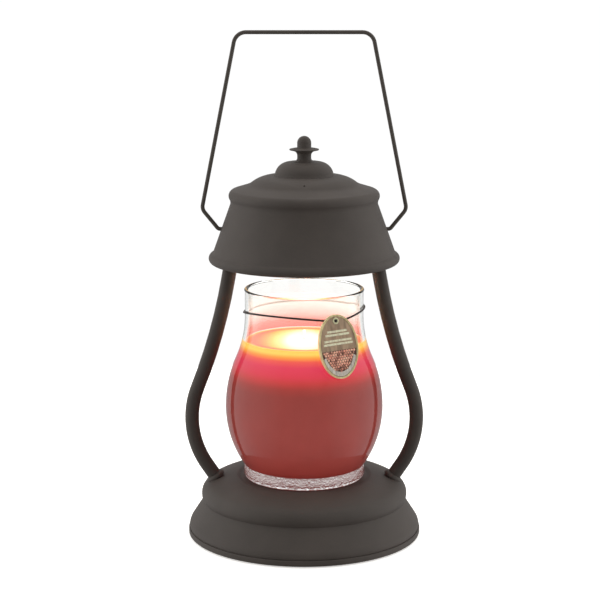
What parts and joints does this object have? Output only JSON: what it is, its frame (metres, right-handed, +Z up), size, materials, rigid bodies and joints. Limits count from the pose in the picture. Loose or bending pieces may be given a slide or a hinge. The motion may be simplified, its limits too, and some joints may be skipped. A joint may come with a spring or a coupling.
{
  "type": "candle warmer lamp",
  "caption": "Lantern-shaped candle warmer: a halogen lamp in a round hood on two bent arms shines down on a jar candle standing in its base; wire bail handle.",
  "frame": {"origin": "centre of the base on the table, at the felt pad's lower face", "axes": "+Z up along the lantern's axis; the front is -Y; the two arms and the bail's pivots lie on the X axis"},
  "size_m": [0.1886, 0.184, 0.3966],
  "materials": {
    "powder_coat": "fine matte powder coat, bronze black",
    "black_wire": "satin black paint on steel wire",
    "plain_steel": "plain pressed steel",
    "zinc_plate": "bright zinc plate",
    "felt": "pressed felt",
    "rubber": "matte moulded",
    "white_plastic": "moulded",
    "steatite": "unglazed steatite",
    "contact_brass": "sprung brass",
    "reflector": "aluminised glass reflector",
    "lens_glass": "clear pressed lens glass",
    "jar_glass": "clear blown glass",
    "wax": "brick red candle wax",
    "wick_cotton": "braided cotton",
    "elastic": "covered elastic cord",
    "tag_gold": "printed gold coloured tin",
    "eyelet_brass": "polished"
  },
  "bodies": {
    "lantern": {"base_shell": "powder_coat", "base_plate": "powder_coat", "felt_pad": "felt", "screw_tabs": "plain_steel", "base_screws": "zinc_plate", "cord_gland": "rubber", "terminal_block": "white_plastic", "lamp_lead": "white_plastic", "arm_left": "powder_coat", "arm_right": "powder_coat", "arm_collar_left": "powder_coat", "arm_collar_right": "powder_coat", "foot_nipples": "zinc_plate", "foot_saddles": "plain_steel", "foot_nuts": "zinc_plate", "top_nipples": "zinc_plate", "top_nuts": "zinc_plate", "lamp_bracket": "plain_steel", "lampholder": "steatite", "holder_contacts": "contact_brass", "holder_screws": "zinc_plate", "shade_hanger": "plain_steel", "hanger_rivets": "zinc_plate", "shade": "powder_coat", "finial": "powder_coat", "finial_nut": "zinc_plate"},
    "handle": {"bail": "black_wire", "bail_caps": "zinc_plate"},
    "bulb": {"bulb_reflector": "reflector", "bulb_lens": "lens_glass", "bulb_capsule": "lens_glass", "bulb_base": "steatite", "bulb_pins": "zinc_plate"},
    "candle": {"jar": "jar_glass", "wax": "wax", "wick": "wick_cotton", "wick_tab": "zinc_plate", "neck_band": "elastic"},
    "tag": {"tag_plate": "tag_gold", "tag_eyelet": "eyelet_brass", "tag_loop": "elastic"}
  },
  "joints": [
    {"name": "bail_swing", "type": "hinge", "parent": "lantern", "child": "handle", "pos_m": [0, 0, 0.2439], "axis": [1, 0, 0], "range_deg": [-150, 150]},
    {"name": "bulb_twist", "type": "hinge", "parent": "lantern", "child": "bulb", "pos_m": [0, 0, 0.27], "axis": [0, 0, -1], "range_deg": [0, 22]},
    {"name": "candle_slide", "type": "slide", "parent": "lantern", "child": "candle", "axis": [0, -0.9877, 0.1564], "range_m": [0, 0.165]},
    {"name": "tag_swing", "type": "hinge", "parent": "candle", "child": "tag", "pos_m": [0.02216, -0.04168, 0.17944], "axis": [-0.8827, -0.4695, -0.0216], "range_deg": [0, 14]}
  ]
}
